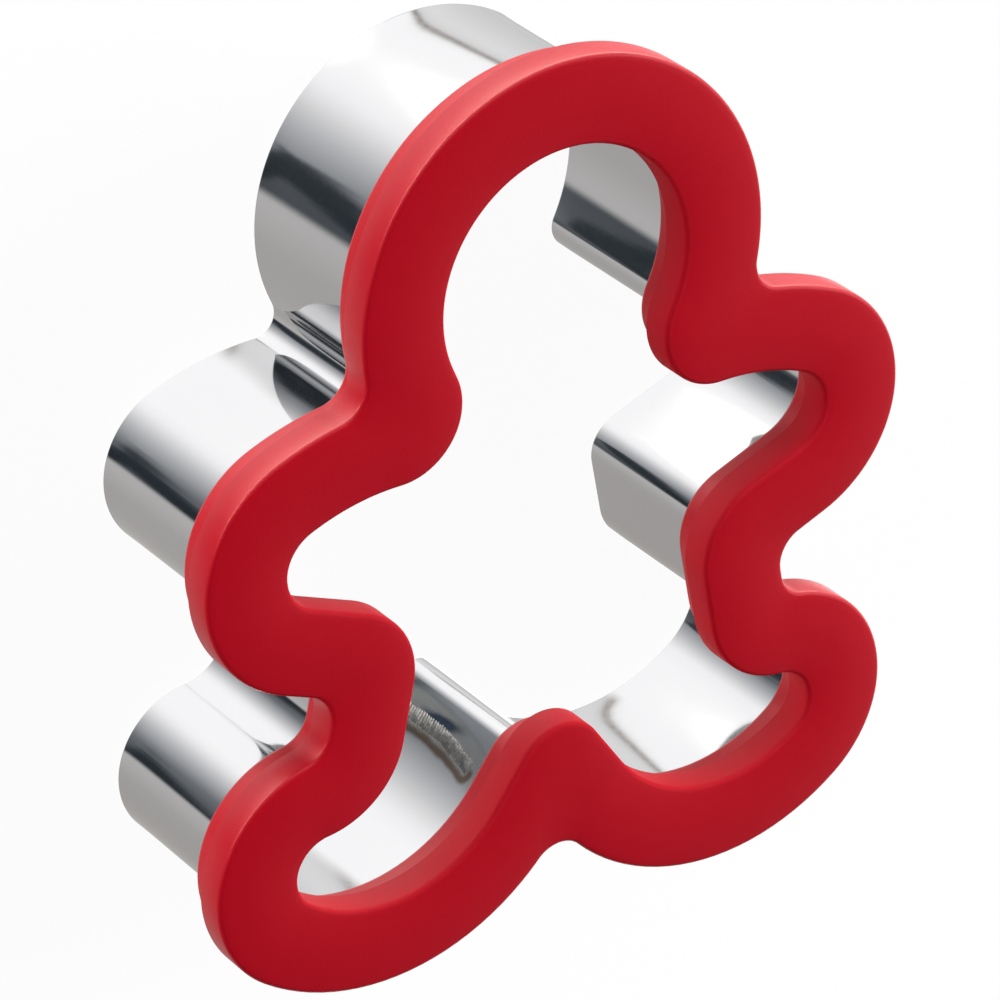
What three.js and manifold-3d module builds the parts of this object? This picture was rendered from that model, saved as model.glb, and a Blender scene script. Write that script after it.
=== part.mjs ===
// Cookie cutter in the outline of a gingerbread figure: a welded steel strip that cuts,
// a collar that grips the strip's upper edge, and a wide cap for the palm on top.
// Millimetres and degrees. The cutting edge lies on z = 0, the head points along +Y.
import * as THREE from "three";
import { mergeVertices } from "three/addons/utils/BufferGeometryUtils.js";
import Module from "manifold-3d";

const wasm = await Module();
wasm.setup();

// Outline of the figure along the middle of the strip, measured from the arms' centre line
const headRadius = 20.6;
const headRise = 24.7;
const neckLean = 24;
const neckRadius = 2.6;
const shoulderRadius = 32;
const shoulderAngle = 67;
const armReach = 30.2;
const armRadius = 10;
const armSlope = 22;
const armpitRadius = 4.3;
const torsoHalfWidth = 24.7;
const torsoDrop = 19;
const torsoLean = 11;
const hipRadius = 5.8;
const legSlope = 5;
const legReach = 30.1;
const legDrop = 37.7;
const legRadius = 9.4;
const toeAngle = 53;
const crotchRadius = 2.1;
const crotchRise = 1.1;

// Steel strip and its weld
const stripThickness = 0.4;
const cuttingDepth = 21.2;
const stripSeat = 4;
const weldWidth = 1.8;
const weldRise = 0.2;
const weldAngle = 32;
const weldInset = 0.6;

// Grip
const collarWidth = 7;
const collarHeight = 3.7;
const collarEdgeRadius = 0.8;
const tongueWidth = 3.2;
const tongueHeight = 2;
const capWidth = 10.2;
const capThickness = 4;
const capEdgeRadius = 0.4;
const gripNotchRadius = 3.8;

// Fit between pieces, and the least radius of a corner inside one
const fitGap = 0.3;
const tightRadius = 0.2;

// How finely curves are cut into facets, and how near two points may lie
const arcSagitta = 0.04;
const edgeFacets = 3;
const weldFacets = 6;
const leastStep = 0.01;
const seatingSteps = 24;

const stripHalf = stripThickness / 2;
const slotHalf = stripHalf + fitGap;
const grooveHalf = tongueWidth / 2 + fitGap;
const shoulderHeight = cuttingDepth + collarHeight;
const topHeight = shoulderHeight + capThickness;

const point = (x, y) => new THREE.Vector2(x, y);
const radians = THREE.MathUtils.degToRad;
const heading = (degrees) => point(Math.cos(radians(degrees)), Math.sin(radians(degrees)));
const mirrored = (p) => point(-p.x, p.y);

// Centres of the convex arcs of the right half
const head = point(0, headRise);
const arm = point(armReach, 0);
const leg = point(legReach, -legDrop);
const shoulder = arm.clone().addScaledVector(heading(shoulderAngle), armRadius - shoulderRadius);

// The sole leaves the toe's arc at the toe angle and runs on, tangent, into the crotch
const toeHeading = heading(-toeAngle);
const fromCrotch = leg.clone().sub(point(0, crotchRise - legDrop));
const toeAndCrotch = legRadius + crotchRadius;
const soleGrowth = (fromCrotch.lengthSq() - toeAndCrotch ** 2)
  / (2 * (fromCrotch.dot(toeHeading) + toeAndCrotch));
const soleRadius = legRadius + soleGrowth;
const sole = leg.clone().addScaledVector(toeHeading, -soleGrowth);

// Sides that a corner can rest against. Each gives its gap to a point and its outward normal there.
function roundSide(centre, radius) {
  return (at, offset) => {
    const away = at.clone().sub(centre);
    return { gap: away.length() - radius - offset, normal: away.normalize() };
  };
}

function straightSide(through, normal) {
  return (at, offset) => ({ gap: at.clone().sub(through).dot(normal) - offset, normal });
}

// A round that leaves along a straight stretch at the given normal, to one hand of it
function taperedSide(centre, radius, normal, hand) {
  const along = point(-hand * normal.y, hand * normal.x);
  const onRound = roundSide(centre, radius);
  const onStraight = straightSide(centre.clone().addScaledVector(normal, radius), normal);
  return (at, offset) => (at.clone().sub(centre).dot(along) > 0 ? onStraight : onRound)(at, offset);
}

const headSide = taperedSide(head, headRadius, heading(-neckLean), -1);
const shoulderSide = roundSide(shoulder, shoulderRadius);
const armSide = taperedSide(arm, armRadius, heading(armSlope - 90), -1);
const torsoSide = straightSide(point(torsoHalfWidth, -torsoDrop), heading(torsoLean));
const legSide = taperedSide(leg, legRadius, heading(90 - legSlope), 1);
const soleSide = roundSide(sole, soleRadius);
const farSoleSide = roundSide(mirrored(sole), soleRadius);

// An inward corner: a round of the given radius, moved until it touches both sides
function seatCorner(from, to, radius, offset, start) {
  const centre = start.clone();
  let before = from(centre, offset);
  let after = to(centre, offset);
  for (let step = 0; step < seatingSteps; step += 1) {
    const cross = before.normal.cross(after.normal);
    const p = radius - before.gap;
    const q = radius - after.gap;
    centre.x += (p * after.normal.y - q * before.normal.y) / cross;
    centre.y += (q * before.normal.x - p * after.normal.x) / cross;
    before = from(centre, offset);
    after = to(centre, offset);
  }
  return { centre, radius, enter: before.normal, leave: after.normal };
}

// Points of an arc between two outward normals: clockwise round the figure, or about an inward corner
function arcPoints(centre, radius, enter, leave, inward) {
  const turn = inward ? Math.PI : 0;
  const curve = new THREE.EllipseCurve(centre.x, centre.y, radius, radius,
    enter.angle() + turn, leave.angle() + turn, !inward);
  const sweep = Math.abs(Math.atan2(enter.cross(leave), enter.dot(leave)));
  const step = 2 * Math.acos(1 - Math.min(arcSagitta / radius, 1));
  return curve.getPoints(Math.max(2, Math.ceil(sweep / step)));
}

// The figure's closed outline at an offset from the strip's middle, outwards when positive.
// Inward corners shrink with the offset, down to the least radius.
function outline(offset, leastRadius) {
  const corner = (from, to, radius, start) =>
    seatCorner(from, to, Math.max(radius - offset, leastRadius), offset, start);
  const neck = corner(headSide, shoulderSide, neckRadius, point(headRadius, headRise / 2));
  const armpit = corner(armSide, torsoSide, armpitRadius, point(armReach, -armRadius - armpitRadius));
  const hip = corner(torsoSide, legSide, hipRadius, point(legReach, legRadius + hipRadius - legDrop));
  const crotch = corner(soleSide, farSoleSide, crotchRadius, point(0, crotchRise - legDrop));
  const bulge = (centre, radius, enter, leave) => arcPoints(centre, radius + offset, enter, leave, false);
  const notch = ({ centre, radius, enter, leave }) => arcPoints(centre, radius, enter, leave, true);
  const rightHalf = [
    bulge(head, headRadius, heading(90), neck.enter),
    notch(neck),
    bulge(shoulder, shoulderRadius, neck.leave, heading(shoulderAngle)),
    bulge(arm, armRadius, heading(shoulderAngle), armpit.enter),
    notch(armpit),
    notch(hip),
    bulge(leg, legRadius, hip.leave, toeHeading),
    bulge(sole, soleRadius, toeHeading, crotch.enter),
    notch({ ...crotch, leave: heading(-90) }),
  ].flat();
  const wholeTurn = rightHalf.map(mirrored).concat(rightHalf.reverse());
  return wholeTurn.filter((p, i) => p.distanceTo(wholeTurn.at(i - 1)) > leastStep);
}

// Solids for joining and cutting
function solid(geometry) {
  geometry.deleteAttribute("normal");
  geometry.deleteAttribute("uv");
  const merged = mergeVertices(geometry);
  return new wasm.Manifold(new wasm.Mesh({
    numProp: 3,
    vertProperties: Float32Array.from(merged.attributes.position.array),
    triVerts: Uint32Array.from(merged.index.array),
  }));
}

// A ring that follows the figure, between two heights, with its edges rounded if asked
function ring({ outer, inner, least = tightRadius, bottom, top, edgeRadius = 0 }) {
  const shape = new THREE.Shape(outline(outer, least));
  shape.holes.push(new THREE.Path(outline(inner, least)));
  const geometry = new THREE.ExtrudeGeometry(shape, {
    depth: top - bottom - 2 * edgeRadius,
    bevelEnabled: edgeRadius > 0,
    bevelSize: edgeRadius,
    bevelThickness: edgeRadius,
    bevelOffset: -edgeRadius,
    bevelSegments: edgeFacets,
  });
  return solid(geometry.translate(0, 0, bottom + edgeRadius));
}

// Steel strip, butted and welded inside one leg beside the crotch
function cutterBand() {
  const strip = ring({ outer: stripHalf, inner: -stripHalf, bottom: 0, top: cuttingDepth + stripSeat });
  const bead = new THREE.Shape().absellipse(0, 0, stripHalf + weldRise, weldWidth / 2, 0, 2 * Math.PI);
  const weld = new THREE.ExtrudeGeometry(bead, {
    depth: cuttingDepth - 2 * weldInset,
    bevelEnabled: false,
    curveSegments: weldFacets,
  });
  const weldPoint = mirrored(sole).addScaledVector(heading(-weldAngle), soleRadius);
  weld.rotateZ(-radians(weldAngle));
  weld.translate(weldPoint.x, weldPoint.y, weldInset);
  return strip.add(solid(weld));
}

// A block wider than the figure, for cutting a ring off level
function slab(bottom, top) {
  const reach = 2 * (headRise + headRadius + legDrop + soleRadius + capWidth);
  const block = new THREE.BoxGeometry(reach, reach, top - bottom);
  return solid(block.translate(0, 0, (bottom + top) / 2));
}

// Collar, rounded below, with a slot for the strip and a tongue for the cap above
function gripCollar() {
  const stem = ring({
    outer: collarWidth / 2,
    inner: -collarWidth / 2,
    least: gripNotchRadius,
    bottom: cuttingDepth,
    top: topHeight,
    edgeRadius: collarEdgeRadius,
  });
  const tongue = ring({
    outer: tongueWidth / 2,
    inner: -tongueWidth / 2,
    bottom: cuttingDepth + collarHeight / 2,
    top: shoulderHeight + tongueHeight,
  });
  const slot = ring({
    outer: slotHalf,
    inner: -slotHalf,
    bottom: 0,
    top: cuttingDepth + stripSeat + fitGap,
  });
  const above = slab(shoulderHeight - fitGap, 2 * topHeight);
  return stem.subtract(above).add(tongue).subtract(slot);
}

// Cap: rounded on top, cut level below, with a groove that takes the collar's tongue
function gripCap() {
  const blank = ring({
    outer: capWidth / 2,
    inner: -capWidth / 2,
    least: gripNotchRadius,
    bottom: cuttingDepth,
    top: topHeight,
    edgeRadius: capEdgeRadius,
  });
  const groove = ring({
    outer: grooveHalf,
    inner: -grooveHalf,
    bottom: 0,
    top: shoulderHeight + tongueHeight + fitGap,
  });
  return blank.subtract(slab(0, shoulderHeight)).subtract(groove);
}

function node(name, shape, material) {
  const { vertProperties, triVerts } = shape.getMesh();
  const geometry = new THREE.BufferGeometry();
  geometry.setAttribute("position", new THREE.BufferAttribute(vertProperties, 3));
  geometry.setIndex(new THREE.BufferAttribute(triVerts, 1));
  geometry.computeVertexNormals();
  const mesh = new THREE.Mesh(geometry, material);
  mesh.name = name;
  return mesh;
}

const polishedSteel = new THREE.MeshStandardMaterial({ color: 0xc9cacb, metalness: 1, roughness: 0.16 });
const redPlastic = new THREE.MeshStandardMaterial({ color: 0xb81f2a, metalness: 0, roughness: 0.5 });
const redRubber = new THREE.MeshStandardMaterial({ color: 0xa81020, metalness: 0, roughness: 0.6 });

// The origin is the middle of the footprint, on the plane of the cutting edge
const footprintMiddle = (headRise + headRadius + sole.y - soleRadius) / 2;
const cookieCutter = new THREE.Group();
cookieCutter.position.y = -footprintMiddle;
cookieCutter.add(
  node("cutter_band", cutterBand(), polishedSteel),
  node("grip_collar", gripCollar(), redPlastic),
  node("grip_cap", gripCap(), redRubber),
);

export default cookieCutter;
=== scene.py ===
import math
import random

import bmesh
import bpy
from mathutils import Matrix, Vector


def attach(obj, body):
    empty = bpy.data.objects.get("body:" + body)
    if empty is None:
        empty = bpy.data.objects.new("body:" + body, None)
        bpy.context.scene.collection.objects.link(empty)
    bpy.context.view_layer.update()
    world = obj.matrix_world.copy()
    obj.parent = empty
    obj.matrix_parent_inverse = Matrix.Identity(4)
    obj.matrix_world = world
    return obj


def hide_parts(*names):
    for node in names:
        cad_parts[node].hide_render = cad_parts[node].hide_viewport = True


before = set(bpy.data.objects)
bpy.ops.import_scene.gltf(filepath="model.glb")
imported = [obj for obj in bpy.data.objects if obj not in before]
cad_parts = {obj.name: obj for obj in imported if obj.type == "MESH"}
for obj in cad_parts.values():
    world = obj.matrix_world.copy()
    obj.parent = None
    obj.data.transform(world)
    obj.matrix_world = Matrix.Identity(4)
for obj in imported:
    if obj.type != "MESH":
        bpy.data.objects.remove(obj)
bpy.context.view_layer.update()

# Lengths below are in millimetres and angles in degrees, as in the part's source. Blender takes metres.
MM = 0.001

# Outline of the figure along the middle of the strip, measured from the arms' centre line
HEAD_RADIUS = 20.6
HEAD_RISE = 24.7
NECK_LEAN = 24
NECK_RADIUS = 2.6
SHOULDER_RADIUS = 32
SHOULDER_ANGLE = 67
ARM_REACH = 30.2
ARM_RADIUS = 10
ARM_SLOPE = 22
ARMPIT_RADIUS = 4.3
TORSO_HALF_WIDTH = 24.7
TORSO_DROP = 19
TORSO_LEAN = 11
HIP_RADIUS = 5.8
LEG_SLOPE = 5
LEG_REACH = 30.1
LEG_DROP = 37.7
LEG_RADIUS = 9.4
TOE_ANGLE = 53
CROTCH_RADIUS = 2.1
CROTCH_RISE = 1.1
CROTCH_FLANK = 35

# Steel strip
STRIP_THICKNESS = 0.4
STRIP_CORNER_RADIUS = 2.8
STRIP_FOLD_RADIUS = 1.7
STRIP_TOP = 25.2
STRIP_FOOT = 0.04
STRIP_LEVELS = (STRIP_TOP, 23.2, 21.2, 18.5, 15.5, 12.5, 9.5, 6.5, 4.5, 3, 2, 1.4, 0.9, 0.5, 0.25,
                STRIP_FOOT)
EDGE_FLARE = 0.045
EDGE_FLARE_HEIGHT = 4
EDGE_ROUND = 0.12
BEND_WAVE = 0.03
BEND_WAVE_LENGTH = 14

# Weld beside the crotch, in the left leg, and how its bead drifts sideways along the strip
WELD_PLACE = 1.16
WELD_HALF_WIDTH = 1.4
WELD_HALF_THICKNESS = 0.25
WELD_HALF_LENGTH = 0.5
WELD_TILT = 16
WELD_START = 1
WELD_END = 16.2
WELD_PITCH = 0.46
WELD_VOXEL = 0.05
WELD_LUMP = 0.05
WELD_LUMP_SIZE = 0.55
WELD_SMOOTHING = 0.5
WELD_SMOOTHING_ROUNDS = 2
WELD_PITCH_SPREAD = 0.15
WELD_SWAY = 0.04
WELD_SEED = 5
DRIFT_HEIGHT = 5
DRIFT_THERE = 0.4
DRIFT_LEAN = 0.05
DRIFT_BOW = 0.013

# Grip
COLLAR_FOOT = 21.2
COLLAR_HALF = 3.5
COLLAR_ROUND = 0.8
COLLAR_FOLD_RADIUS = 5.7
SHOULDER_HEIGHT = 24.9
TONGUE_HALF = 1.6
TONGUE_TOP = 26.9
CAP_HALF = 5.07
CAP_TOP = 28.9
CAP_CROWN = 0.3
CAP_FRONT_ROUND = 0.5
CAP_REAR_ROUND = 0.06
CAP_FOLD_RADIUS = 5.9
GRIP_NOTCH_RADIUS = 3.8
SEAT_GAP = 0.02
LEVEL_MARGIN = 0.06

# How finely curves are cut: facets of each stretch of the outline's right half, from the head's top to the
# crotch, then steps of the rounded edges, the cap's crown and the weld's ripples. The last is how often an
# inward corner is moved to seat it.
HEAD_FACETS = 44
NECK_FACETS = 24
SHOULDER_FACETS = 14
ARM_FACETS = 44
ARMPIT_FACETS = 22
HIP_FACETS = 22
LEG_FACETS = 40
SOLE_FACETS = 24
CROTCH_FACETS = 12
STRAIGHT_FACETS = 4
EDGE_SEGMENTS = 3
COLLAR_SEGMENTS = 6
CAP_FRONT_SEGMENTS = 6
CAP_REAR_SEGMENTS = 2
CROWN_STEPS = 8
RIPPLE_SEGMENTS = 24
RIPPLE_RINGS = 12
SEATING_STEPS = 24

# How near points are joined, and the angles under which faces are shaded smooth
MIRROR_GAP = 0.001
DOUBLES_GAP = 0.002
SMOOTH_ANGLE = 40
BEAD_SMOOTH_ANGLE = 180


# Outline

def heading(degrees):
    return Vector((math.cos(math.radians(degrees)), math.sin(math.radians(degrees))))


def mirrored(p):
    return Vector((-p.x, p.y))


head = Vector((0, HEAD_RISE))
arm = Vector((ARM_REACH, 0))
leg = Vector((LEG_REACH, -LEG_DROP))
crotch_start = Vector((0, CROTCH_RISE - LEG_DROP))
shoulder = arm + heading(SHOULDER_ANGLE) * (ARM_RADIUS - SHOULDER_RADIUS)

# The sole leaves the toe's arc at the toe angle. Its radius is the one that would touch a round crotch.
toe = heading(-TOE_ANGLE)
from_crotch = leg - crotch_start
toe_and_crotch = LEG_RADIUS + CROTCH_RADIUS
toe_pull = 2 * (from_crotch.dot(toe) + toe_and_crotch)
sole_growth = (from_crotch.length_squared - toe_and_crotch ** 2) / toe_pull
sole_radius = LEG_RADIUS + sole_growth
sole = leg - toe * sole_growth

# The row's origin is the middle of the footprint
footprint_middle = (HEAD_RISE + HEAD_RADIUS + sole.y - sole_radius) / 2


def place(p, height):
    """A point of the outline, in the row's frame and in metres"""
    return Vector((p.x, p.y - footprint_middle, height)) * MM


def round_side(centre, radius):
    """A side that a corner can rest against: its gap to a point, and its outward normal there"""
    def touch(at, offset):
        away = at - centre
        return away.length - radius - offset, away.normalized()
    return touch


def straight_side(through, normal):
    def touch(at, offset):
        return (at - through).dot(normal) - offset, normal
    return touch


def tapered_side(centre, radius, normal, hand):
    """A round that leaves along a straight stretch at the given normal, to one hand of it"""
    along = Vector((-hand * normal.y, hand * normal.x))
    on_round = round_side(centre, radius)
    on_straight = straight_side(centre + normal * radius, normal)

    def touch(at, offset):
        side = on_straight if (at - centre).dot(along) > 0 else on_round
        return side(at, offset)
    return touch


head_side = tapered_side(head, HEAD_RADIUS, heading(-NECK_LEAN), -1)
shoulder_side = round_side(shoulder, SHOULDER_RADIUS)
arm_side = tapered_side(arm, ARM_RADIUS, heading(ARM_SLOPE - 90), -1)
torso_side = straight_side(Vector((TORSO_HALF_WIDTH, -TORSO_DROP)), heading(TORSO_LEAN))
leg_side = tapered_side(leg, LEG_RADIUS, heading(90 - LEG_SLOPE), 1)

# Straight flanks lead from the soles into the fold at the crotch
flank = heading(-CROTCH_FLANK)
sole_side = tapered_side(sole, sole_radius, mirrored(flank), -1)
far_sole_side = tapered_side(mirrored(sole), sole_radius, flank, 1)


def seat_corner(before, after, radius, offset, start):
    """An inward corner: a round of the given radius, moved until it touches both sides"""
    centre = start.copy()
    for _ in range(SEATING_STEPS):
        gap_before, enter = before(centre, offset)
        gap_after, leave = after(centre, offset)
        cross = enter.cross(leave)
        p, q = radius - gap_before, radius - gap_after
        centre += Vector((p * leave.y - q * enter.y, q * enter.x - p * leave.x)) / cross
    return centre, before(centre, offset)[1], after(centre, offset)[1]


def outline_arcs(offset, least_radius, fold_radius):
    """The right half's arcs at an offset from the strip's middle, as centre, radius, first and last
    outward normal, whether the arc is an inward corner, its facets, and the facets of a straight before it.
    The inward corners have a least radius, and the fold at the crotch has its own."""
    def corner(before, after, radius, start, facets):
        centre, enter, leave = seat_corner(before, after, radius, offset, start)
        return centre, radius, enter, leave, True, facets, STRAIGHT_FACETS

    def least(radius):
        return max(radius - offset, least_radius)

    def bulge(centre, radius, enter, leave, facets, straight=0):
        return centre, radius + offset, enter, leave, False, facets, straight

    under_head = Vector((HEAD_RADIUS, HEAD_RISE / 2))
    under_arm = Vector((ARM_REACH, -ARM_RADIUS - ARMPIT_RADIUS))
    above_leg = Vector((LEG_REACH, LEG_RADIUS + HIP_RADIUS - LEG_DROP))
    neck = corner(head_side, shoulder_side, least(NECK_RADIUS), under_head, NECK_FACETS)
    armpit = corner(arm_side, torso_side, least(ARMPIT_RADIUS), under_arm, ARMPIT_FACETS)
    hip = corner(torso_side, leg_side, least(HIP_RADIUS), above_leg, HIP_FACETS)
    crotch = corner(sole_side, far_sole_side, fold_radius, crotch_start, CROTCH_FACETS)
    down = heading(-90)
    return (
        bulge(head, HEAD_RADIUS, heading(90), neck[2], HEAD_FACETS),
        neck,
        bulge(shoulder, SHOULDER_RADIUS, neck[3], heading(SHOULDER_ANGLE), SHOULDER_FACETS),
        bulge(arm, ARM_RADIUS, heading(SHOULDER_ANGLE), armpit[2], ARM_FACETS),
        armpit,
        hip,
        bulge(leg, LEG_RADIUS, hip[3], toe, LEG_FACETS, STRAIGHT_FACETS),
        bulge(sole, sole_radius, toe, crotch[2], SOLE_FACETS),
        (*crotch[:3], down, *crotch[4:]),
    )


# Modelling

def deselect_all():
    if bpy.context.object and bpy.context.object.mode != "OBJECT":
        bpy.ops.object.mode_set(mode="OBJECT")
    bpy.ops.object.select_all(action="DESELECT")


def apply_modifier(piece, kind, **settings):
    """Adds a modifier, sets it and applies it at once"""
    modifier = piece.modifiers.new(kind.lower(), kind)
    for name, value in settings.items():
        setattr(modifier, name, value)
    bpy.ops.object.modifier_apply(modifier=modifier.name)


def choose(piece, wanted):
    """In edit mode, selects the vertices that pass a test, with the edges and faces between them"""
    mesh = bmesh.from_edit_mesh(piece.data)
    mesh.verts.ensure_lookup_table()
    for v in mesh.verts:
        v.select_set(wanted(v))
    mesh.select_flush_mode()
    bmesh.update_edit_mesh(piece.data)


def choose_edges(piece, wanted):
    """In edit mode, selects the edges that pass a test"""
    bpy.ops.mesh.select_mode(type="EDGE")
    bpy.ops.mesh.select_all(action="DESELECT")
    mesh = bmesh.from_edit_mesh(piece.data)
    for e in mesh.edges:
        if wanted(e):
            e.select_set(True)
    bmesh.update_edit_mesh(piece.data)


def draw_half_outline(offset, least_radius, fold_radius, height):
    """In edit mode, draws the right half of an outline from the head's top: a point that is spun along the
    arcs and extruded along the straights"""
    at = head + heading(90) * (HEAD_RADIUS + offset)
    bpy.ops.mesh.primitive_plane_add(size=MM, location=place(at, height))
    bpy.ops.mesh.merge(type="CENTER")
    arcs = outline_arcs(offset, least_radius, fold_radius)
    for centre, radius, enter, leave, inward, facets, straight in arcs:
        begin = centre + enter * (-radius if inward else radius)
        for _ in range(straight):
            step = ((begin - at) / straight * MM).to_3d()
            bpy.ops.mesh.extrude_region_move(TRANSFORM_OT_translate={"value": step})
        turn = enter.angle_signed(leave)
        bpy.ops.mesh.spin(steps=facets, angle=turn, center=place(centre, height), axis=(0, 0, 1))
        at = centre + leave * (-radius if inward else radius)


def ring_piece(name, section, closed):
    """A piece that follows the figure: half outlines at each corner of its section, given as offset, least
    radius, radius at the crotch and height, bridged one to the next and mirrored. A closed section makes a
    solid ring. Its attribute says how far each point is from the strip's middle."""
    deselect_all()
    bpy.ops.mesh.primitive_plane_add(size=MM)
    piece = bpy.context.object
    piece.name = piece.data.name = name
    bpy.ops.object.mode_set(mode="EDIT")
    bpy.ops.mesh.select_mode(type="VERT")
    bpy.ops.mesh.delete(type="VERT")
    for corner in section:
        draw_half_outline(*corner)
    mesh = bmesh.from_edit_mesh(piece.data)
    count = len(mesh.verts) // len(section)
    side = mesh.verts.layers.float.new("offset")
    mesh.verts.ensure_lookup_table()
    for v in mesh.verts:
        v[side] = section[v.index // count][0]
    bmesh.update_edit_mesh(piece.data)
    last = len(section) if closed else len(section) - 1
    for first in range(last):
        pair = (first, (first + 1) % len(section))
        choose(piece, lambda v: v.index // count in pair)
        bpy.ops.mesh.bridge_edge_loops()
        bpy.ops.mesh.select_mode(type="VERT")
    bpy.ops.object.mode_set(mode="OBJECT")
    apply_modifier(piece, "MIRROR", use_clip=True, merge_threshold=MIRROR_GAP * MM)
    bpy.ops.object.mode_set(mode="EDIT")
    bpy.ops.mesh.select_all(action="SELECT")
    bpy.ops.mesh.remove_doubles(threshold=DOUBLES_GAP * MM)
    bpy.ops.mesh.normals_make_consistent(inside=False)
    return piece


def finish_piece(piece, node, material, smooth_angle=SMOOTH_ANGLE):
    """Shades the piece, gives it its finish and ties it to the frame"""
    if piece.mode != "OBJECT":
        bpy.ops.object.mode_set(mode="OBJECT")
    bpy.ops.object.shade_smooth_by_angle(angle=math.radians(smooth_angle))
    piece.data.materials.clear()
    piece.data.materials.append(material)
    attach(piece, "root")
    if node:
        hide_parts(node)


def round_edges(piece, level, wall_end, radius, segments):
    """Rounds the edges at one height whose wall ends at another height"""
    def near(v, height):
        return abs(v.co.z - height * MM) < LEVEL_MARGIN * MM

    def wanted(edge):
        if not all(near(v, level) for v in edge.verts):
            return False
        return any(near(v, wall_end) for face in edge.link_faces for v in face.verts)

    choose_edges(piece, wanted)
    bpy.ops.mesh.bevel(offset=radius * MM, segments=segments, affect="EDGES", clamp_overlap=False)


def beside_strip(offset, height):
    """A corner of a section whose inward corners run around those of the strip"""
    return offset, STRIP_CORNER_RADIUS - offset, STRIP_FOLD_RADIUS - offset, height


def make_strip(material):
    """Sheet steel bent to the outline, its cutting edge a little flared and slightly rounded"""
    def flare(height):
        return EDGE_FLARE * max(0, 1 - height / EDGE_FLARE_HEIGHT) ** 2
    section = [beside_strip(flare(height), height) for height in STRIP_LEVELS]
    strip = ring_piece("cutter_strip", section, closed=False)
    bpy.ops.object.mode_set(mode="OBJECT")
    wave = bpy.data.textures.new("bend_wave", "CLOUDS")
    wave.noise_scale = BEND_WAVE_LENGTH * MM
    wave.noise_depth = 0
    apply_modifier(strip, "DISPLACE", texture=wave, texture_coords="LOCAL", strength=BEND_WAVE * MM)
    apply_modifier(strip, "SOLIDIFY", thickness=STRIP_THICKNESS * MM, offset=0, use_even_offset=True)
    bpy.ops.object.mode_set(mode="EDIT")
    round_edges(strip, STRIP_FOOT, STRIP_LEVELS[-2], EDGE_ROUND, EDGE_SEGMENTS)
    finish_piece(strip, "cutter_band", material)


def make_collar(material):
    """Collar, rounded below, slotted for the strip, with a tongue that enters the cap"""
    slot_half = STRIP_THICKNESS / 2 + SEAT_GAP
    slot_top = STRIP_TOP + SEAT_GAP
    ledge = SHOULDER_HEIGHT - SEAT_GAP
    outside = [
        (COLLAR_HALF, GRIP_NOTCH_RADIUS, GRIP_NOTCH_RADIUS, COLLAR_FOOT),
        (COLLAR_HALF, GRIP_NOTCH_RADIUS, GRIP_NOTCH_RADIUS, ledge),
        beside_strip(TONGUE_HALF, ledge),
        beside_strip(TONGUE_HALF, TONGUE_TOP),
    ]
    wall_corner = STRIP_CORNER_RADIUS + COLLAR_HALF
    inside = [
        beside_strip(-TONGUE_HALF, TONGUE_TOP),
        beside_strip(-TONGUE_HALF, ledge),
        (-COLLAR_HALF, wall_corner, COLLAR_FOLD_RADIUS, ledge),
        (-COLLAR_HALF, wall_corner, COLLAR_FOLD_RADIUS, COLLAR_FOOT),
    ]
    slot = [
        beside_strip(-slot_half, COLLAR_FOOT),
        beside_strip(-slot_half, slot_top),
        beside_strip(slot_half, slot_top),
        beside_strip(slot_half, COLLAR_FOOT),
    ]
    collar = ring_piece("grip_collar_ring", outside + inside + slot, closed=True)
    round_edges(collar, COLLAR_FOOT, ledge, COLLAR_ROUND, COLLAR_SEGMENTS)
    finish_piece(collar, "grip_collar", material)


def make_cap(material):
    """Cap with a lightly crowned palm face, rounded in front, grooved behind for the tongue"""
    def edge(share, height):
        fold_radius = GRIP_NOTCH_RADIUS + (CAP_FOLD_RADIUS - GRIP_NOTCH_RADIUS) * max(0, -share)
        return CAP_HALF * share, GRIP_NOTCH_RADIUS, fold_radius, height

    shares = [1 - 2 * step / CROWN_STEPS for step in range(CROWN_STEPS + 1)]
    crown = [edge(share, CAP_TOP - CAP_CROWN * share * share) for share in shares]
    groove_half = TONGUE_HALF + SEAT_GAP
    groove_top = TONGUE_TOP + SEAT_GAP
    groove = [
        beside_strip(-groove_half, SHOULDER_HEIGHT),
        beside_strip(-groove_half, groove_top),
        beside_strip(groove_half, groove_top),
        beside_strip(groove_half, SHOULDER_HEIGHT),
    ]
    walls_end = [edge(-1, SHOULDER_HEIGHT), *groove, edge(1, SHOULDER_HEIGHT)]
    cap = ring_piece("grip_cap_ring", crown + walls_end, closed=True)
    brow = CAP_TOP - CAP_CROWN
    round_edges(cap, brow, SHOULDER_HEIGHT, CAP_FRONT_ROUND, CAP_FRONT_SEGMENTS)
    round_edges(cap, SHOULDER_HEIGHT, brow - CAP_FRONT_ROUND, CAP_REAR_ROUND, CAP_REAR_SEGMENTS)
    finish_piece(cap, "grip_cap", material)


# The weld crosses the left leg's flank: the way through the strip, the way along it, and the place
weld_across = flank
weld_along = heading(90 - CROTCH_FLANK)
weld = mirrored(sole) + weld_across * sole_radius + weld_along * WELD_PLACE


def weld_drift(height):
    """How far the bead lies towards the crotch at a height, as a number or as a wire"""
    rise = height - DRIFT_HEIGHT
    return DRIFT_THERE + rise * DRIFT_LEAN - rise * rise * DRIFT_BOW


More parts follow.
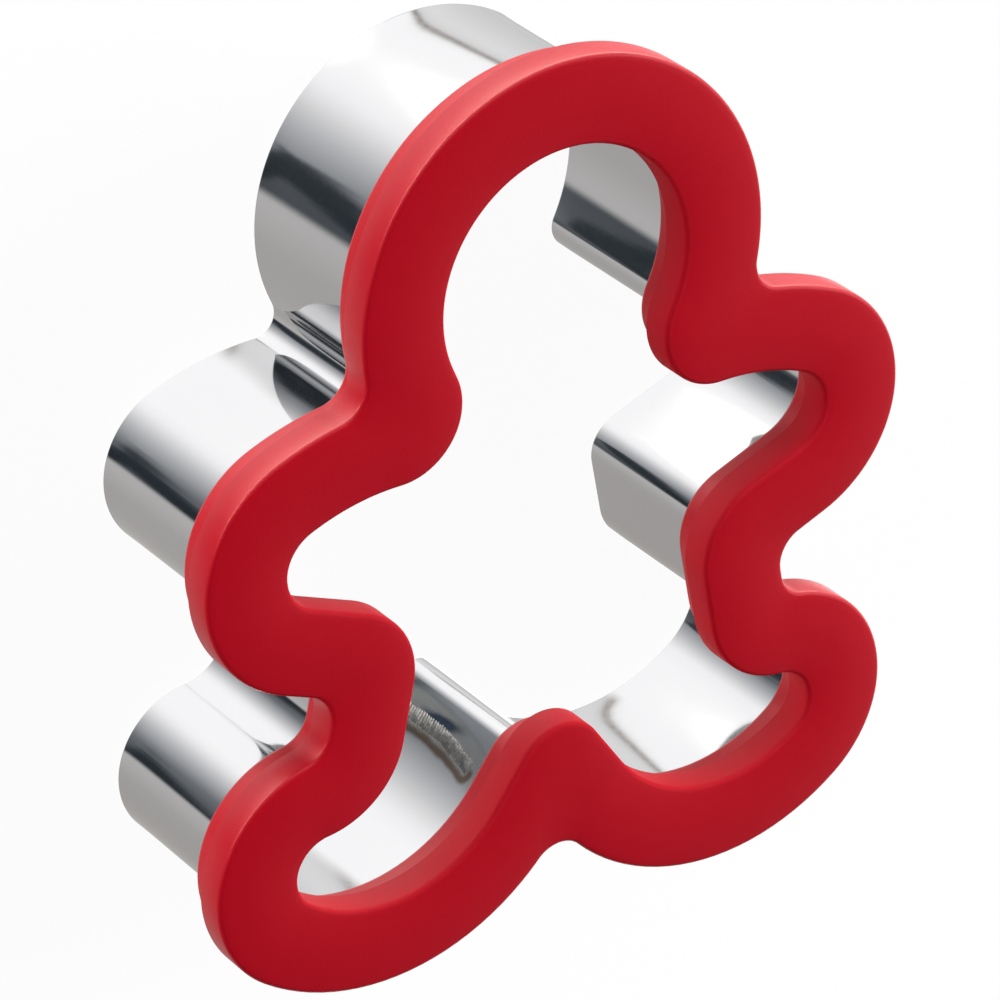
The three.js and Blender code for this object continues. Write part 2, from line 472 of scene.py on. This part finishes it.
def make_weld(material):
    """Bead of overlapping ripples, laid along the butted ends of the strip"""
    deselect_all()
    bpy.ops.mesh.primitive_uv_sphere_add(segments=RIPPLE_SEGMENTS, ring_count=RIPPLE_RINGS, radius=MM)
    bead = bpy.context.object
    bead.name = bead.data.name = "weld_bead"
    bpy.ops.object.mode_set(mode="EDIT")
    bpy.ops.mesh.select_all(action="SELECT")
    origin = {"center_override": (0, 0, 0)}
    bpy.ops.transform.resize(value=(WELD_HALF_THICKNESS, WELD_HALF_WIDTH, WELD_HALF_LENGTH), **origin)
    bpy.ops.transform.rotate(value=math.radians(WELD_TILT), orient_axis="Y", **origin)
    bpy.ops.transform.rotate(value=math.radians(CROTCH_FLANK), orient_axis="Z", **origin)
    bpy.ops.transform.translate(value=place(weld + weld_along * weld_drift(WELD_START), WELD_START))
    uneven = random.Random(WELD_SEED)
    height = WELD_START
    while height < WELD_END:
        rise = WELD_PITCH * uneven.uniform(1 - WELD_PITCH_SPREAD, 1 + WELD_PITCH_SPREAD)
        drift = weld_drift(height + rise) - weld_drift(height)
        sway = weld_along * (drift + uneven.uniform(-WELD_SWAY, WELD_SWAY))
        step = Vector((sway.x, sway.y, rise)) * MM
        bpy.ops.mesh.duplicate_move(TRANSFORM_OT_translate={"value": step})
        height += rise
    bpy.ops.object.mode_set(mode="OBJECT")
    apply_modifier(bead, "REMESH", mode="VOXEL", voxel_size=WELD_VOXEL * MM)
    lumps = bpy.data.textures.new("weld_lumps", "CLOUDS")
    lumps.noise_scale = WELD_LUMP_SIZE * MM
    apply_modifier(bead, "DISPLACE", texture=lumps, texture_coords="LOCAL", strength=WELD_LUMP * MM)
    apply_modifier(bead, "SMOOTH", factor=WELD_SMOOTHING, iterations=WELD_SMOOTHING_ROUNDS)
    finish_piece(bead, None, material, BEAD_SMOOTH_ANGLE)


# Finishes

class Wire:
    """A node's output, so that shader maths reads as plain expressions"""

    def __init__(self, finish, socket):
        self.finish = finish
        self.socket = socket

    def output(self, name):
        return Wire(self.finish, self.socket.node.outputs[name])

    def maths(self, operation, *terms):
        return self.finish.add("ShaderNodeMath", {"operation": operation}, dict(enumerate(terms)))

    def __add__(self, other):
        return self.maths("ADD", self, other)

    def __radd__(self, other):
        return self.maths("ADD", other, self)

    def __sub__(self, other):
        return self.maths("SUBTRACT", self, other)

    def __rsub__(self, other):
        return self.maths("SUBTRACT", other, self)

    def __mul__(self, other):
        return self.maths("MULTIPLY", self, other)

    def __rmul__(self, other):
        return self.maths("MULTIPLY", other, self)

    def __truediv__(self, other):
        return self.maths("DIVIDE", self, other)

    def __rtruediv__(self, other):
        return self.maths("DIVIDE", other, self)

    def __abs__(self):
        return self.maths("ABSOLUTE", self)

    def at_least(self, other):
        return self.maths("MAXIMUM", self, other)

    def root(self):
        return self.maths("SQRT", self)

    def step(self, start, end):
        """0 before start, 1 after end, smooth between them, also where end is the lower"""
        return self.finish.add("ShaderNodeMapRange", {"interpolation_type": "SMOOTHSTEP"},
                               {"Value": self, "From Min": start, "From Max": end})

    def peak(self, centre, half_width):
        """1 at the centre, falling to 0 at half a width to either side"""
        return abs(self - centre).step(half_width, 0)


class Finish:
    """A node tree, with one method that adds any node"""

    def __init__(self, owner):
        owner.use_nodes = True
        self.tree = owner.node_tree
        self.tree.nodes.clear()

    def add(self, kind, settings=None, sockets=None, output=0):
        node = self.tree.nodes.new(kind)
        for name, value in (settings or {}).items():
            if name == "stops":
                self.set_stops(node.color_ramp.elements, value)
            else:
                setattr(node, name, value)
        for name, value in (sockets or {}).items():
            if isinstance(value, Wire):
                self.tree.links.new(value.socket, node.inputs[name])
            else:
                node.inputs[name].default_value = value
        return Wire(self, node.outputs[output]) if len(node.outputs) else None

    @staticmethod
    def set_stops(elements, stops):
        while len(elements) < len(stops):
            elements.new(1)
        for element, (position, colour) in zip(elements, stops):
            element.position = position
            element.color = (*colour, 1)

    def blend(self, factor, first, second):
        """One colour where the factor is 0, another where it is 1"""
        # Mix has a set of sockets for each kind of value: these are the factor's and the colours'
        ends = {0: factor, 6: first, 7: second}
        return self.add("ShaderNodeMix", {"data_type": "RGBA"}, ends, 2)

    def noise(self, spot, size, detail=2):
        """Noise between 0 and 1 with features of about the given size"""
        sockets = {"Vector": spot, "Scale": 1 / (size * MM), "Detail": detail}
        return self.add("ShaderNodeTexNoise", {}, sockets)

    def bump(self, height, depth):
        """A normal from a height between 0 and 1 that stands for the given depth"""
        return self.add("ShaderNodeBump", {}, {"Height": height, "Distance": depth * MM, "Strength": 1})

    def surface(self, **sockets):
        names = {name.replace("_", " "): value for name, value in sockets.items()}
        shader = self.add("ShaderNodeBsdfPrincipled", {}, names)
        self.add("ShaderNodeOutputMaterial", {}, {"Surface": shader})


FINE_DETAIL = 3

STEEL = (0.60, 0.60, 0.61, 1)
STEEL_TINT_BROWN = (0.24, 0.18, 0.14, 1)
STEEL_TINT_BLUE = (0.08, 0.11, 0.16, 1)
STEEL_TINT_GREY = (0.50, 0.50, 0.49, 1)
WELD_GREY = (0.18, 0.18, 0.18, 1)
WELD_DARK = (0.125, 0.125, 0.125, 1)
CAP_RED = (0.415, 0.0014, 0.0105, 1)
CAP_RED_DEEP = (0.39, 0.001, 0.009, 1)
COLLAR_RED = (0.445, 0.005, 0.014, 1)
COLLAR_RED_DEEP = (0.42, 0.004, 0.012, 1)

# Polish, and the heat tint around the weld, in millimetres from the bead's middle
POLISH_ROUGHNESS = 0.04
HAZE_SIZE = 0.5
HAZE_ROUGHNESS = 0.05
HEAT_THROUGH = (1.5, 0.9)
HEAT_WANDER_SIZE = 2.2
HEAT_WANDER = 0.5
HEAT_END_SHRINK = 1.6
DULL_MIDDLE = 0.6
DULL_FADE = (2.8, 1.8)
DULL_END_FADE = (3.2, 2.2)
DULL_ROUGHNESS = 0.14
BROWN_DISTANCE = 1.55
BROWN_HALF_WIDTH = 0.85
BROWN_SIDE_FADE = (0.6, -0.3)
BROWN_STRENGTH = 1.2
BLUE_DISTANCE = 0.6
BLUE_LEAN = 0.112
BLUE_HALF_WIDTH = 0.95
BLUE_HEIGHT = 9.5
BLUE_HALF_HEIGHT = 5.5
BLUE_STRENGTH = 1.5

# Metal of the bead
WELD_PATCH_SIZE = 0.9
WELD_PATCH_FADE = (0.35, 0.65)
WELD_ROUGHNESS = 0.3
WELD_PATCH_ROUGHNESS = 0.12

# Red mouldings
MOULDING_IOR = 1.36
CLOUD_SIZE = 4
GRAIN_SIZE = 0.16
COLLAR_GRAIN = 0.01
CAP_GRAIN = 0.013
SATIN_ROUGHNESS = 0.30
GRAIN_ROUGHNESS = 0.12
MATT_FADE = (-4.2, -5)
MATT_ROUGHNESS = 0.45


def polished_steel():
    """Mirror-polished strip, dulled and tinted by the heat of the weld"""
    material = bpy.data.materials.new("polished_steel")
    finish = Finish(material)
    spot = finish.add("ShaderNodeTexCoord", output="Object")
    axes = finish.add("ShaderNodeSeparateXYZ", {}, {"Vector": spot})
    centre = place(weld, 0) / MM
    x = axes.output("X") / MM - centre.x
    y = axes.output("Y") / MM - centre.y
    z = axes.output("Z") / MM
    along = x * weld_along.x + y * weld_along.y
    across = x * weld_across.x + y * weld_across.y
    by_weld = abs(across).step(*HEAT_THROUGH)
    wander = (finish.noise(spot, HEAT_WANDER_SIZE) - 0.5) * HEAT_WANDER
    beside = along - weld_drift(z) + wander
    past_end = (z - WELD_END).at_least(0)
    reach = (beside * beside + past_end * past_end * HEAT_END_SHRINK).root()
    dulled = abs(beside - DULL_MIDDLE).step(*DULL_FADE) * past_end.step(*DULL_END_FADE) * by_weld
    brown = reach.peak(BROWN_DISTANCE, BROWN_HALF_WIDTH) * beside.step(*BROWN_SIDE_FADE)
    brown = brown * by_weld * BROWN_STRENGTH
    blue = (along - z * BLUE_LEAN - BLUE_DISTANCE + wander).peak(0, BLUE_HALF_WIDTH)
    blue = blue * z.peak(BLUE_HEIGHT, BLUE_HALF_HEIGHT) * by_weld * BLUE_STRENGTH
    colour = finish.blend(dulled, STEEL, STEEL_TINT_GREY)
    colour = finish.blend(brown, colour, STEEL_TINT_BROWN)
    colour = finish.blend(blue, colour, STEEL_TINT_BLUE)
    haze = finish.noise(spot, HAZE_SIZE, FINE_DETAIL)
    roughness = POLISH_ROUGHNESS + haze * HAZE_ROUGHNESS + dulled * DULL_ROUGHNESS
    finish.surface(Base_Color=colour, Metallic=1, Roughness=roughness)
    return material


def weld_steel():
    """Dull metal of the bead, darker in patches"""
    material = bpy.data.materials.new("weld_steel")
    finish = Finish(material)
    spot = finish.add("ShaderNodeTexCoord", output="Object")
    patches = finish.noise(spot, WELD_PATCH_SIZE, FINE_DETAIL)
    colour = finish.blend(patches.step(*WELD_PATCH_FADE), WELD_DARK, WELD_GREY)
    roughness = WELD_ROUGHNESS + patches * WELD_PATCH_ROUGHNESS
    finish.surface(Base_Color=colour, Metallic=1, Roughness=roughness)
    return material


def moulded_red(name, colour, deep_colour, grain_depth):
    """Satin moulding with a fine grain from the tool, matt on the cap's inner wall"""
    material = bpy.data.materials.new(name)
    finish = Finish(material)
    spot = finish.add("ShaderNodeTexCoord", output="Object")
    cloud = finish.noise(spot, CLOUD_SIZE, FINE_DETAIL)
    grain = finish.noise(spot, GRAIN_SIZE)
    shade = finish.blend(cloud, deep_colour, colour)
    offset = finish.add("ShaderNodeAttribute", {"attribute_name": "offset"}, output="Fac")
    roughness = SATIN_ROUGHNESS + grain * GRAIN_ROUGHNESS + offset.step(*MATT_FADE) * MATT_ROUGHNESS
    finish.surface(Base_Color=shade, Roughness=roughness, IOR=MOULDING_IOR,
                   Normal=finish.bump(grain, grain_depth))
    return material


make_strip(polished_steel())
make_weld(weld_steel())
make_collar(moulded_red("collar_red", COLLAR_RED, COLLAR_RED_DEEP, COLLAR_GRAIN))
make_cap(moulded_red("cap_red", CAP_RED, CAP_RED_DEEP, CAP_GRAIN))


# Stage

FLOOR_SIZE = 20000
FLOOR_WHITE = (0.92, 0.92, 0.92, 1)
FLOOR_GLOW = 0.95


def stage_plane(name, size, height):
    """A level plane of the stage, not of the part"""
    deselect_all()
    bpy.ops.mesh.primitive_plane_add(size=size * MM, location=(0, 0, height * MM))
    plane = bpy.context.object
    plane.name = name
    material = bpy.data.materials.new(name)
    plane.data.materials.append(material)
    return plane, Finish(material)


def is_seen(finish):
    """1 for what the camera sees directly or in a mirror or glass"""
    path = finish.add("ShaderNodeLightPath")
    return path.output("Is Camera Ray") + path.output("Is Glossy Ray") + path.output("Is Transmission Ray")


def pale_floor():
    """Floor under the cutting edge. It takes the shadow and lets through the light from what is up in the
    picture, which is partly below it. Polished steel shows the mirror card in its place."""
    floor, finish = stage_plane("floor", FLOOR_SIZE, 0)
    paint = finish.add("ShaderNodeBsdfDiffuse", {}, {"Color": FLOOR_WHITE})
    glow = finish.add("ShaderNodeEmission", {}, {"Color": (1, 1, 1, 1), "Strength": 1})
    lit = finish.add("ShaderNodeMixShader", {}, {0: is_seen(finish) * FLOOR_GLOW, 1: paint, 2: glow})
    finish.add("ShaderNodeOutputMaterial", {}, {"Surface": lit})
    floor.visible_glossy = False
    floor.visible_diffuse = False
    floor.visible_shadow = False


def grey(value, coolness=0):
    """A grey, bluish where the coolness is above 0 and brownish where it is below"""
    return (value * (1 - coolness), value, value * (1 + coolness))


# What the steel mirrors: a bright softbox above the figure's head, a dark room to its left, a thin line to
# its right, a grey table below it and a window beside the table. A fade is where a zone begins and where
# it is full.
CARD_SIZE = 5000
CARD_HEIGHT = -400
CARD_STRENGTH = 1.5
SOFTBOX = (3.8, 3.65, 3.3, 1)
SOFTBOX_FADE = (385, 510)
SOFTBOX_MIDDLE = (7.5, 7.2, 6.5, 1)
SOFTBOX_MIDDLE_FADE = (455, 570)
WINDOW = (1.1, 1.1, 1.1, 1)
WINDOW_SIDE_FADE = (250, 300)
WINDOW_TOP_FADE = (-90, -130)
TABLE_EDGE = -50
TABLE_FADE = (-30, -72)
DARK = (0.0095, 0.015, 0.0205, 1)
DARK_SIDE = -365
DARK_SLANT = 1.85
DARK_RAGGED = 70
DARK_RAGGED_SIZE = 38
DARK_FADE = (165, 112)
DARK_CORE_FADE = (22, 38)
DARK_SHARE = 0.45
DARK_CORE_SHARE = 0.46
DARK_END_FADE = (8, -20)
LINE_AT = Vector((258, 299))
LINE_SLANT = 0.35
LINE_SIDE_FADE = (130, 200)
ROOM_SIDE = -260
ROOM_SLANT = 1.5
ROOM_STOPS = (
    (-200, grey(0.12, 0.08)),
    (-90, grey(0.17, 0.06)),
    (-30, grey(0.24, 0.05)),
    (42, grey(0.34, 0.03)),
    (150, grey(0.48, 0.02)),
    (258, grey(0.64)),
    (340, grey(0.77)),
    (415, grey(0.88)),
    (480, grey(0.95)),
    (600, grey(1)),
)
LINE_STOPS = (
    (-260, grey(0.51)),
    (-130, grey(0.63)),
    (-40, grey(0.74)),
    (-9, grey(0.70)),
    (-3.5, grey(0.22, -0.14)),
    (3, grey(0.22, -0.14)),
    (10, grey(1)),
)
TABLE_STOPS = (
    (-440, grey(0.33, -0.04)),
    (-240, grey(0.37, -0.03)),
    (-100, grey(0.44, -0.02)),
    (TABLE_EDGE, grey(0.44, -0.02)),
)


def ramp(finish, value, stops):
    """A colour that changes with a value, through stops given as value and colour"""
    low, high = stops[0][0], stops[-1][0]
    shares = [((at - low) / (high - low), colour) for at, colour in stops]
    return finish.add("ShaderNodeValToRGB", {"stops": shares}, {"Fac": (value - low) / (high - low)})


def mirror_card():
    """A card seen in glossy surfaces and nowhere else"""
    card, finish = stage_plane("mirror_card", CARD_SIZE, CARD_HEIGHT)
    spot = finish.add("ShaderNodeTexCoord", output="Object")
    axes = finish.add("ShaderNodeSeparateXYZ", {}, {"Vector": spot})
    x = axes.output("X") / MM
    y = axes.output("Y") / MM
    room = y + (x - ROOM_SIDE) * ROOM_SLANT
    colour = ramp(finish, room, ROOM_STOPS)
    ragged = (finish.noise(spot, DARK_RAGGED_SIZE, FINE_DETAIL) - 0.5) * DARK_RAGGED
    deep = y - (x - DARK_SIDE) * DARK_SLANT + ragged
    depth = DARK_SHARE + deep.step(*DARK_CORE_FADE) * DARK_CORE_SHARE
    colour = finish.blend(deep.step(*DARK_FADE) * depth * room.step(*DARK_END_FADE), colour, DARK)
    past_line = y - LINE_AT.y + (x - LINE_AT.x) * LINE_SLANT
    colour = finish.blend(x.step(*LINE_SIDE_FADE), colour, ramp(finish, past_line, LINE_STOPS))
    colour = finish.blend(y.step(*TABLE_FADE), colour, ramp(finish, y, TABLE_STOPS))
    in_window = x.step(*WINDOW_SIDE_FADE) * y.step(*WINDOW_TOP_FADE)
    colour = finish.blend(in_window, colour, WINDOW)
    colour = finish.blend(y.step(*SOFTBOX_FADE), colour, SOFTBOX)
    colour = finish.blend(y.step(*SOFTBOX_MIDDLE_FADE), colour, SOFTBOX_MIDDLE)
    light = finish.add("ShaderNodeEmission", {}, {"Color": colour, "Strength": CARD_STRENGTH})
    finish.add("ShaderNodeOutputMaterial", {}, {"Surface": light})
    card.visible_camera = False
    card.visible_diffuse = False
    card.visible_transmission = False
    card.visible_shadow = False


# Light from the room: the way that is up in the picture, and how bright it is there, to the right and
# elsewhere
PICTURE_UP = (0.272, 0.874, -0.402)
WORLD_DARK = (0.08, 0.08, 0.08, 1)
WORLD_BRIGHT = (1.85, 1.85, 1.85, 1)
WORLD_RIGHT = (0.6, 0.6, 0.6, 1)
RIGHT_FADE = (0.4, 0.85)
UP_FADE = (0, 0.8)


def studio():
    """Soft light from the side that is up in the picture, and a little from the right"""
    world = bpy.data.worlds.new("studio")
    bpy.context.scene.world = world
    finish = Finish(world)
    way = finish.add("ShaderNodeTexCoord", output="Generated")
    axes = finish.add("ShaderNodeSeparateXYZ", {}, {"Vector": way})
    up = sum(axes.output(axis) * share for axis, share in zip("XYZ", PICTURE_UP))
    colour = finish.blend(axes.output("X").step(*RIGHT_FADE), WORLD_DARK, WORLD_RIGHT)
    colour = finish.blend(up.step(*UP_FADE), colour, WORLD_BRIGHT)
    light = finish.add("ShaderNodeBackground", {}, {"Color": colour, "Strength": 1})
    finish.add("ShaderNodeOutputWorld", {}, {"Surface": light})


# Lamps, and the light that each gives on the part as a share of white
LAMP_SIZE = 600
KEY_AT = Vector((850, 200, 500)) * MM
KEY_LEVEL = 1.27
FILL_AT = Vector((-1000, 50, 200)) * MM
FILL_LEVEL = 0.8


def soft_lamp(name, at, level):
    """A square softbox turned to the middle of the part, which its mirrors don't show"""
    lamp = bpy.data.objects.new(name, bpy.data.lights.new(name, "AREA"))
    lamp.data.size = LAMP_SIZE * MM
    lamp.data.energy = level * at.length_squared * math.pi ** 2
    lamp.location = at
    lamp.rotation_euler = at.to_track_quat("Z", "Y").to_euler()
    lamp.visible_glossy = False
    bpy.context.scene.collection.objects.link(lamp)


pale_floor()
mirror_card()
studio()
soft_lamp("key_softbox", KEY_AT, KEY_LEVEL)
soft_lamp("side_fill", FILL_AT, FILL_LEVEL)

# Camera
CAMERA_AT = Vector((-307.23, 293.79, 456.92)) * MM
CAMERA_RIGHT = Vector((0.82207, 0.00598, 0.56936))
CAMERA_UP = Vector((0.27238, 0.87398, -0.40245))
CAMERA_BACK = Vector((-0.50002, 0.48592, 0.71684))
SENSOR_WIDTH = 36
LENS = 202.38
CLIP_START = 10
camera = bpy.data.objects.new("camera", bpy.data.cameras.new("camera"))
bpy.context.scene.collection.objects.link(camera)
turn = Matrix((CAMERA_RIGHT, CAMERA_UP, CAMERA_BACK)).transposed()
camera.matrix_world = Matrix.Translation(CAMERA_AT) @ turn.to_4x4()
camera.data.sensor_width = SENSOR_WIDTH
camera.data.lens = LENS
camera.data.clip_start = CLIP_START * MM
bpy.context.scene.camera = camera
bpy.context.scene.view_settings.view_transform = "Standard"
